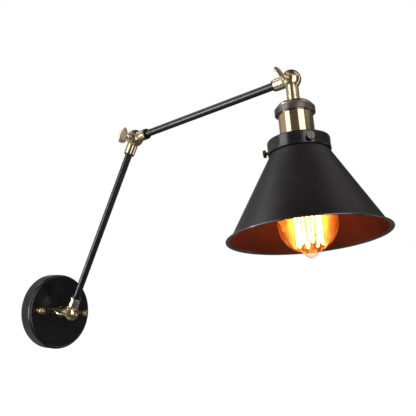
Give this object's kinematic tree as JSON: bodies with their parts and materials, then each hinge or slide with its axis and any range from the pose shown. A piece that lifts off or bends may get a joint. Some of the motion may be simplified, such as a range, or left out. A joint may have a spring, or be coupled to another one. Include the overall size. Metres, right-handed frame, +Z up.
{
  "type": "swing arm wall lamp",
  "caption": "Wall lamp with a round canopy, hinged tube arms on keyed ball knuckles, a brass lampholder, a black cone shade and a pear-shaped filament bulb.",
  "frame": {"origin": "centre of the crossbar's back face, on the wall plane", "axes": "+Y into the wall, +Z up, +X to the right seen from the room; the lamp reaches along -Y"},
  "size_m": [0.1746, 0.5091, 0.3285],
  "materials": {
    "antique_brass": "antique brass, polished and lacquered",
    "contact_brass": "plain brass sheet",
    "satin_black": "satin black paint",
    "dark_bronze": "dark bronze plating",
    "zinc_steel": "zinc plated steel",
    "earth_green": "green painted screw",
    "ceramic": "white glazed ceramic",
    "bulb_glass": "clear amber glass",
    "stem_glass": "clear glass",
    "filament": "glowing filament",
    "contact_black": "black glass insulator"
  },
  "bodies": {
    "wall_plate": {"crossbar": "zinc_steel", "canopy_studs": "zinc_steel", "stud_lock_nuts": "zinc_steel", "earth_screw": "earth_green", "canopy": "satin_black", "ball_nuts": "antique_brass"},
    "swivel": {"swivel_nipple": "zinc_steel", "swivel_lock_nut": "zinc_steel", "swivel_inner_washer": "zinc_steel", "swivel_face_washer": "antique_brass", "base_wall_knuckle": "antique_brass"},
    "lower_arm": {"base_arm_knuckle": "antique_brass", "base_key_washer": "zinc_steel", "lower_arm_tube": "satin_black", "lower_arm_lock_rings": "satin_black", "elbow_lower_knuckle": "antique_brass", "elbow_key_washer": "zinc_steel"},
    "base_key": {"base_key": "antique_brass"},
    "elbow_key": {"elbow_key": "antique_brass"},
    "upper_arm": {"elbow_upper_knuckle": "antique_brass", "upper_arm_tube": "satin_black", "upper_arm_lock_rings": "satin_black", "head_arm_knuckle": "antique_brass", "head_key_washer": "zinc_steel"},
    "head_key": {"head_key": "antique_brass"},
    "head": {"head_lamp_knuckle": "antique_brass", "head_nipple": "zinc_steel", "head_coupler": "antique_brass", "cap_lock_nut": "zinc_steel", "socket_cap": "antique_brass", "socket_ring": "dark_bronze", "socket_shell": "antique_brass", "socket_core": "ceramic", "screw_contact": "contact_brass", "centre_contact": "contact_brass", "terminal_screws": "zinc_steel", "gallery": "satin_black", "gallery_nut": "dark_bronze", "shade": "satin_black", "bulb_glass": "bulb_glass", "bulb_cap": "zinc_steel", "bulb_contact": "contact_black", "bulb_stem": "stem_glass", "bulb_supports": "zinc_steel", "bulb_filament": "filament"},
    "gallery_screw_1": {"gallery_screw_1": "antique_brass"},
    "gallery_screw_2": {"gallery_screw_2": "antique_brass"},
    "gallery_screw_3": {"gallery_screw_3": "antique_brass"}
  },
  "joints": [
    {"name": "base_swivel", "type": "hinge", "parent": "wall_plate", "child": "swivel", "pos_m": [0, -0.019, 0], "axis": [0, -1, 0], "range_deg": [-160, 160]},
    {"name": "base_knuckle", "type": "hinge", "parent": "swivel", "child": "lower_arm", "pos_m": [0, -0.0412, 0], "axis": [1, 0, 0], "range_deg": [-24, 156]},
    {"name": "elbow_knuckle", "type": "hinge", "parent": "lower_arm", "child": "upper_arm", "pos_m": [0, -0.14288, 0.22839], "axis": [-1, 0, 0], "range_deg": [-33, 147]},
    {"name": "head_knuckle", "type": "hinge", "parent": "upper_arm", "child": "head", "pos_m": [0, -0.38981, 0.26749], "axis": [1, 0, 0], "range_deg": [-178, 2]},
    {"name": "base_key_turn", "type": "hinge", "parent": "lower_arm", "child": "base_key", "pos_m": [0, -0.0412, 0], "axis": [-1, 0, 0], "range_deg": [0, 270]},
    {"name": "elbow_key_turn", "type": "hinge", "parent": "lower_arm", "child": "elbow_key", "pos_m": [0, -0.14288, 0.22839], "axis": [-1, 0, 0], "range_deg": [0, 270]},
    {"name": "head_key_turn", "type": "hinge", "parent": "upper_arm", "child": "head_key", "pos_m": [0, -0.38981, 0.26749], "axis": [-1, 0, 0], "range_deg": [0, 270]},
    {"name": "gallery_screw_1_back_out", "type": "slide", "parent": "head", "child": "gallery_screw_1", "axis": [-0.5878, -0.7942, 0.1544], "range_m": [0, 0.0015]},
    {"name": "gallery_screw_2_back_out", "type": "slide", "parent": "head", "child": "gallery_screw_2", "axis": [-0.4067, 0.8968, -0.1743], "range_m": [0, 0.0015]},
    {"name": "gallery_screw_3_back_out", "type": "slide", "parent": "head", "child": "gallery_screw_3", "axis": [0.9945, -0.1026, 0.0199], "range_m": [0, 0.0015]}
  ]
}
